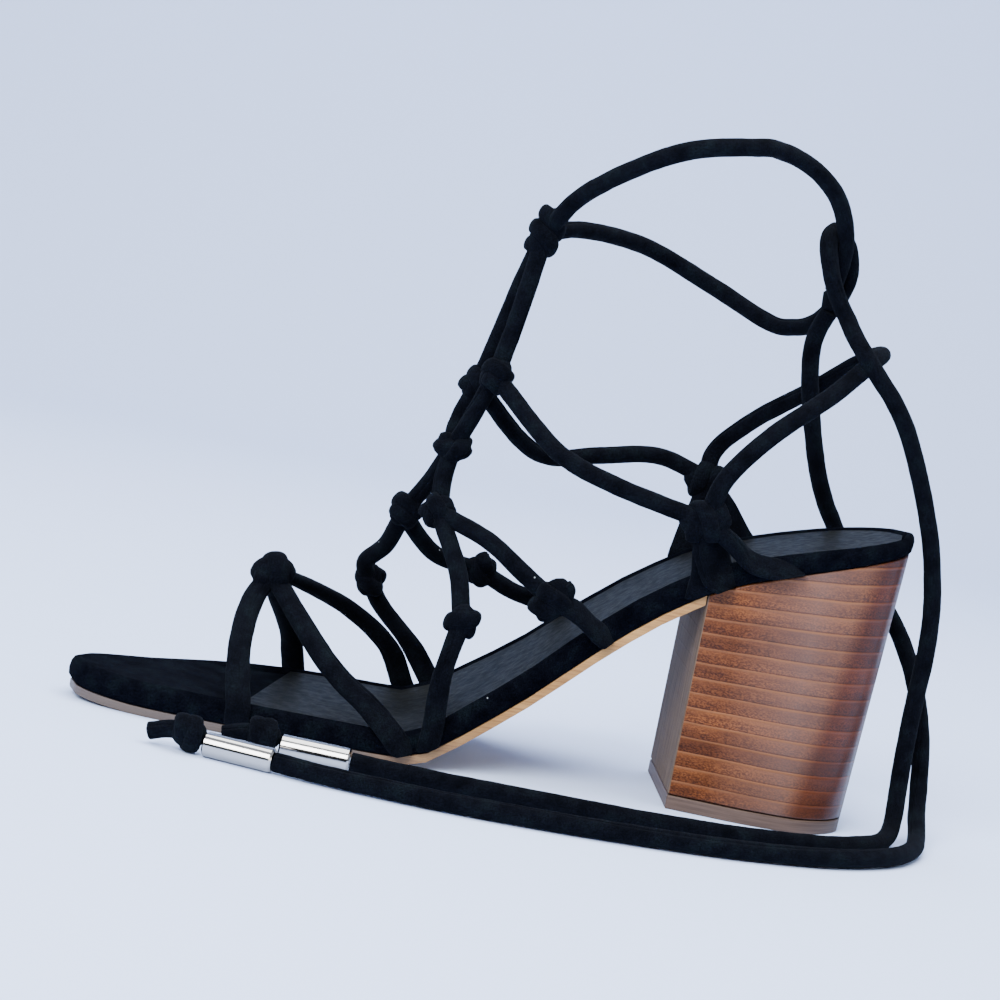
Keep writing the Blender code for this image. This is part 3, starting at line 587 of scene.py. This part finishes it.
LINKS = (
    ("over_ball_inner", ((0.439, -0.300, 0.318),), "ball_side_inner"),
    ("over_ball_outer", ((0.352, 0.255, 0.330), (0.330, 0.350, 0.275)), "ball_side_outer"),
    ("over_ball_inner", ((0.470, -0.280, 0.348), (0.518, -0.370, 0.235)), "waist_inner"),
    ("over_ball_outer", ((0.384, 0.205, 0.372), (0.421, 0.320, 0.310)), "waist_outer"),
    ("over_ball_inner", ((0.404, -0.045, 0.510),), "instep_low"),
    ("over_ball_outer", ((0.390, 0.055, 0.498),), "instep_low"),
    ("instep_low", ((0.424, -0.050, 0.640),), "instep_inner"),
    ("instep_low", ((0.408, 0.055, 0.630),), "instep_outer"),
    ("instep_inner", ((0.452, -0.040, 0.800), (0.461, -0.036, 0.900)), "ankle_front"),
    ("instep_outer", ((0.437, 0.040, 0.800), (0.451, 0.036, 0.900)), "ankle_front"),
    ("instep_inner", ((0.506, -0.230, 0.540), (0.546, -0.330, 0.440), (0.610, -0.395, 0.305)),
     "heel_side_inner"),
    ("instep_outer", ((0.492, 0.230, 0.520), (0.538, 0.330, 0.425), (0.601, 0.400, 0.345),
                      (0.678, 0.430, 0.255)), "heel_side_outer"),
)
HEEL_SLING = (
    (0.732, -0.425, 0.205), (0.778, -0.395, 0.272), (0.842, -0.270, 0.330),
    (0.890, -0.130, 0.385), (0.910, 0.000, 0.402), (0.893, 0.120, 0.385),
    (0.850, 0.250, 0.330), (0.792, 0.375, 0.272), (0.750, 0.425, 0.215),
)
LEGS = (
    ("ball_side_inner", ((0.443, -0.490, 0.105),), -1, 0.4430, -0.5 * MM, 6.0 * MM),
    ("ball_side_outer", ((0.362, 0.465, 0.175), (0.410, 0.500, 0.095)), 1, 0.4510, 4.0 * MM, 7.0 * MM),
    ("waist_inner", ((0.585, -0.415, 0.078),), -1, 0.6260, 6.0 * MM, 7.3 * MM),
    ("waist_outer", ((0.530, 0.420, 0.120),), 1, 0.6060, 5.0 * MM, 7.0 * MM),
    ("heel_side_inner", (), -1, 0.7310, 0.0, 7.2 * MM),
    ("heel_side_inner", (), -1, 0.7570, 6.0 * MM, 12.5 * MM),
    ("heel_side_inner", ((0.750, -0.415, 0.062),), -1, 0.8150, 15.0 * MM, 7.6 * MM),
    ("heel_side_outer", ((0.740, 0.400, 0.085),), 1, 0.7290, 0.0, 7.2 * MM),
    ("heel_side_outer", ((0.772, 0.405, 0.085),), 1, 0.8150, 6.0 * MM, 7.2 * MM),
)
ANKLE_INNER = ((0.507, -0.205, 1.050), (0.599, -0.420, 1.015), (0.690, -0.420, 0.925))
ANKLE_OUTER = ((0.520, 0.160, 0.955), (0.607, 0.360, 0.810), (0.702, 0.430, 0.620))
# Where the ankle cords hook round each other behind the ankle, and the ties they go on as, in metres
CROSS_INNER = (
    (0.0522, -0.0262, 0.1887), (0.0587, -0.0215, 0.1876), (0.0646, -0.0174, 0.1853),
    (0.0699, -0.0138, 0.1818), (0.0738, -0.0106, 0.1776), (0.0765, -0.0078, 0.1725),
    (0.0780, -0.0050, 0.1678), (0.0786, -0.0023, 0.1638), (0.0787, 0.0005, 0.1597),
    (0.0785, 0.0025, 0.1548),
)
CROSS_OUTER = (
    (0.0655, 0.0260, 0.1412), (0.0728, 0.0205, 0.1414), (0.0767, 0.0165, 0.1433),
    (0.0792, 0.0125, 0.1464), (0.0810, 0.0095, 0.1500), (0.0823, 0.0075, 0.1540),
    (0.0829, 0.0063, 0.1582), (0.0824, 0.0052, 0.1625), (0.0808, 0.0042, 0.1668),
    (0.0782, 0.0030, 0.1700), (0.0753, -0.0005, 0.1711), (0.0733, -0.0045, 0.1690),
    (0.0732, -0.0078, 0.1648), (0.0749, -0.0090, 0.1592), (0.0770, -0.0085, 0.1547),
    (0.0793, -0.0077, 0.1511),
)
TIE_INNER = (
    (0.0825, -0.0078, 0.1468),
    (0.0856, -0.0110, 0.1418),
    (0.0893, -0.0142, 0.1370),
    (0.0942, -0.0152, 0.1316),
    (0.0996, -0.0142, 0.1262),
    (0.1052, -0.0122, 0.1190),
    (0.1104, -0.0102, 0.1100),
    (0.1154, -0.0088, 0.0995),
    (0.1198, -0.0078, 0.0885),
    (0.1230, -0.0072, 0.0770),
    (0.1250, -0.0070, 0.0660),
    (0.1256, -0.0072, 0.0540),
    (0.1252, -0.0080, 0.0410),
    (0.1250, -0.0092, 0.0280),
    (0.1250, -0.0115, 0.0160),
    (0.1243, -0.0165, 0.0072),
    (0.1212, -0.0255, 0.0033),
    (0.1140, -0.0372, 0.0029),
    (0.0980, -0.0500, 0.0029),
    (0.0740, -0.0585, 0.0029),
    (0.0480, -0.0620, 0.0029),
    (0.0220, -0.0620, 0.0029),
    (-0.0040, -0.0615, 0.0029),
    (-0.0260, -0.0600, 0.0030),
    (-0.0340, -0.0590, 0.0032),
)
TIE_OUTER = (
    (0.0785, 0.0005, 0.1480),
    (0.0768, 0.0035, 0.1420),
    (0.0768, 0.0070, 0.1350),
    (0.0792, 0.0108, 0.1245),
    (0.0833, 0.0155, 0.1125),
    (0.0880, 0.0210, 0.1010),
    (0.0927, 0.0262, 0.0925),
    (0.0972, 0.0302, 0.0862),
    (0.1018, 0.0322, 0.0800),
    (0.1075, 0.0318, 0.0735),
    (0.1140, 0.0285, 0.0672),
    (0.1205, 0.0230, 0.0600),
    (0.1260, 0.0165, 0.0505),
    (0.1300, 0.0095, 0.0395),
    (0.1322, 0.0030, 0.0280),
    (0.1328, -0.0030, 0.0165),
    (0.1326, -0.0090, 0.0085),
    (0.1318, -0.0180, 0.0038),
    (0.1275, -0.0335, 0.0029),
    (0.1175, -0.0500, 0.0029),
    (0.0980, -0.0660, 0.0029),
    (0.0720, -0.0770, 0.0029),
    (0.0440, -0.0830, 0.0029),
    (0.0150, -0.0860, 0.0029),
    (-0.0130, -0.0860, 0.0029),
    (-0.0400, -0.0820, 0.0030),
    (-0.0540, -0.0780, 0.0032),
)


def round_tube(points, seam_at):
    """A round cord along a smooth route through some places."""
    route = smooth_route(points, CORD_STEP)
    sizes = np.full(len(route), CORD_DIAMETER)
    return tube(route, sizes, 0.94 * sizes, outwards(route), 2.0, seam_at)


centres = {name: placed(row, ANKLE_RISE) for name, row in KNOTS.items()}
net_tubes = []
for number, (start, passed, end) in enumerate(LINKS):
    places = [centres[start], *(placed(row, ANKLE_RISE) for row in passed), centres[end]]
    net_tubes.append(round_tube(places, 0.37 * number))
behind_heel = [placed(row, ANKLE_RISE) for row in HEEL_SLING]
net_tubes.append(round_tube([centres["heel_side_inner"], *behind_heel, centres["heel_side_outer"]], 0.55))
for number, (start, passed, side, along, slant, pressed) in enumerate(LEGS):
    net_tubes.append(leg_tube(centres[start], passed, side, along, slant, pressed, ANKLE_RISE, CORD_DIAMETER,
                              CORD_DIAMETER, 0.20 + 0.17 * number))
for passed, crossing, tie, seam_at in (
    (ANKLE_INNER, CROSS_INNER, TIE_OUTER, 0.70), (ANKLE_OUTER, CROSS_OUTER, TIE_INNER, 0.10),
):
    places = [centres["ankle_front"], *(placed(row, ANKLE_RISE) for row in passed)]
    net_tubes.append(round_tube([*places, *(Vector(point) for point in crossing), Vector(tie[0])], seam_at))
net = join_tubes("suede_net", net_tubes, black_suede)
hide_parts("instep_net")
knots = []
for name, row in KNOTS.items():
    knots += knot_tubes(centres[name], row, CORD_DIAMETER, *KNOT_TURNS[name])
join_tubes("net_knots", knots, black_suede)


# Ties: the free ends of the two ankle cords, which wind up the leg when worn.
# They hang down behind the heel and lie along the floor, each to its barrel and the knot that stops it.
def make_tie(name, points, seam_at):
    """A tie and the route of its middle."""
    route = smooth_route([Vector(point) for point in points], CORD_STEP)
    sizes = np.full(len(route), CORD_DIAMETER)
    tie = join_tubes("suede_" + name, [tube(route, sizes, 0.96 * sizes, outwards(route), 2.0, seam_at)],
                     black_suede)
    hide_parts(name)
    return tie, route


tie_inner, route_inner = make_tie("tie_inner", TIE_INNER, 0.62)
tie_outer, route_outer = make_tie("tie_outer", TIE_OUTER, 0.12)


# Barrels: short tubes of polished nickel, turned with a lip at each end and threaded on the ties.
# The metal is plated and buffed round the tube, which leaves faint streaks in its gloss.
def make_polished_nickel():
    nickel = start_material("polished_nickel", {"Base Color": (0.42, 0.395, 0.37, 1.0), "Metallic": 1.0})
    wear = shades(nickel, grain(nickel, 0.7, stretch=(1.0, 12.0, 1.0)), (
        (0.3, grey(0.08)), (0.8, grey(0.18)),
    ))
    return finish_material(nickel, roughness=wear)


polished_nickel = make_polished_nickel()
for name in ("inner", "outer"):
    dress("barrel_" + name, polished_nickel)


# End knots: the last of each tie, knotted overhand behind its barrel so that the barrel can't slip off.
# It is the same suede cord, drawn tight, with a short tail cut square.
BARREL_GAP = 0.3 * MM
KNOT_HALF_LENGTH, KNOT_HEIGHT = 4.6 * MM, 5.2 * MM
STOPPER_KNOT = (0, 0, 0, 1.9, 1.75, 1.7, 0)
TAIL_BEND, TAIL_LENGTH, TAIL_DROP = 5.0 * MM, 11.0 * MM, 1.9 * MM
BARREL_LENGTH = 19.5 * MM
for name, points, tie, route in (
    ("inner", TIE_INNER, tie_inner, route_inner), ("outer", TIE_OUTER, tie_outer, route_outer),
):
    ahead = Vector(points[-1]) - Vector(points[-2])
    ahead.z = 0.0
    ahead.normalize()
    barrel_low, barrel_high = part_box("barrel_" + name)
    knot = (barrel_low + barrel_high) / 2 + ahead * (BARREL_LENGTH / 2 + BARREL_GAP + KNOT_HALF_LENGTH)
    knot.z = KNOT_HEIGHT
    end = knot + ahead * TAIL_LENGTH - Vector((0.0, 0.0, TAIL_DROP))
    tail = smooth_route([knot, knot + ahead * TAIL_BEND, end], CORD_STEP)
    sizes = np.full(len(tail), BAND_WIDTH * CORD_DIAMETER)
    pieces = [tube(tail, sizes, sizes, np.tile((0.0, 0.0, 1.0), (len(tail), 1)), 2.0, 0.4)]
    pieces += knot_tubes(knot, STOPPER_KNOT, CORD_DIAMETER, 1.8, 0.7, 1)
    stopper = join_tubes("stopper_knot_" + name, pieces, black_suede)
    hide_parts("end_knot_" + name)


# Floor: a pale sweep that curves up behind the shoe, lit by large soft panels from the front and above.
FLOOR_FRONT, FLOOR_BACK, SWEEP_RADIUS, WALL_HEIGHT = -8.0, 0.9, 0.55, 2.4
FRONT_HALF, BACK_HALF, SWEEP_STEPS = 10.0, 2.6, 16


def make_floor():
    profile = [(FRONT_HALF, FLOOR_FRONT, 0.0), (BACK_HALF, FLOOR_BACK, 0.0)]
    for i in range(1, SWEEP_STEPS + 1):
        angle = math.pi / 2 * i / SWEEP_STEPS
        back = FLOOR_BACK + SWEEP_RADIUS * math.sin(angle)
        profile.append((BACK_HALF, back, SWEEP_RADIUS * (1 - math.cos(angle))))
    profile.append((BACK_HALF, FLOOR_BACK + SWEEP_RADIUS, WALL_HEIGHT))
    points = [(side * half, y, z) for half, y, z in profile for side in (-1, 1)]
    faces = [(2 * i, 2 * i + 1, 2 * i + 3, 2 * i + 2) for i in range(len(profile) - 1)]
    mesh = bpy.data.meshes.new("floor")
    mesh.from_pydata(points, [], faces)
    mesh.shade_smooth()
    paper = start_material("floor_paper", {"Base Color": (0.61, 0.72, 1.0, 1.0), "Roughness": 0.90})
    mesh.materials.append(paper)
    floor = bpy.data.objects.new("floor", mesh)
    bpy.context.scene.collection.objects.link(floor)


def add_panel(name, place, aim, size, power, colour):
    """A soft light panel that faces a point."""
    lamp = bpy.data.lights.new(name, "AREA")
    lamp.shape = "RECTANGLE"
    lamp.size, lamp.size_y = size
    lamp.energy = power
    lamp.color = colour
    panel = bpy.data.objects.new(name, lamp)
    panel.location = place
    panel.rotation_euler = (Vector(aim) - Vector(place)).to_track_quat("-Z", "Y").to_euler()
    bpy.context.scene.collection.objects.link(panel)


make_floor()
add_panel("key_panel", (-0.55, -1.15, 0.95), (0.0, 0.0, 0.08), (0.9, 0.9), 53.0, (0.91, 0.955, 1.0))
add_panel("top_panel", (0.15, 0.10, 1.35), (0.0, 0.0, 0.05), (1.3, 1.3), 42.0, (0.89, 0.945, 1.0))
add_panel("side_panel", (1.05, -0.75, 0.45), (0.08, 0.0, 0.06), (0.25, 0.9), 4.0, (1.0, 1.0, 1.0))


def make_room():
    """An even pale room, dim low down in front of the shoe, which gives metal and varnish a dark band."""
    room = bpy.data.worlds.new("studio")
    room.use_nodes = True
    heading = add_node(room, "SeparateXYZ", {"Vector": add_node(room, "TexCoord", {}).outputs["Generated"]})
    ahead = maths(room, "DIVIDE", maths(room, "SUBTRACT", -0.10, heading.outputs["Y"]), 0.30, clamp=True)
    low = maths(room, "DIVIDE", maths(room, "SUBTRACT", 0.62, heading.outputs["Z"]), 0.20, clamp=True)
    air = mixed(room, maths(room, "MULTIPLY", ahead, low), (0.78, 0.86, 1.0), (0.050, 0.050, 0.055))
    follow(room, room.node_tree.nodes["Background"].inputs["Color"], air)
    room.node_tree.nodes["Background"].inputs["Strength"].default_value = 0.80
    bpy.context.scene.world = room


make_room()


# Camera: the photograph's place beside the shoe's inner side, a little above the footbed, rolled as it was.
CAMERA_PLACE = Vector((-0.0467, -0.757, 0.144))
CAMERA_AIM = Vector((-0.005, 0.0, 0.0755))
CAMERA_ROLL = math.radians(11.3)
CAMERA_LENS = 94.0


def make_camera():
    lens = bpy.data.cameras.new("camera")
    lens.lens = CAMERA_LENS
    lens.sensor_width = 36.0
    camera = bpy.data.objects.new("camera", lens)
    ahead = (CAMERA_AIM - CAMERA_PLACE).normalized()
    level = ahead.cross(Vector((0.0, 0.0, 1.0))).normalized()
    upright = level.cross(ahead)
    right = math.cos(CAMERA_ROLL) * level + math.sin(CAMERA_ROLL) * upright
    up = right.cross(ahead)
    turned = camera.matrix_world.copy()
    for i, axis in enumerate((right, up, -ahead, CAMERA_PLACE)):
        for row in range(3):
            turned[row][i] = axis[row]
    camera.matrix_world = turned
    bpy.context.scene.collection.objects.link(camera)
    bpy.context.scene.camera = camera


make_camera()
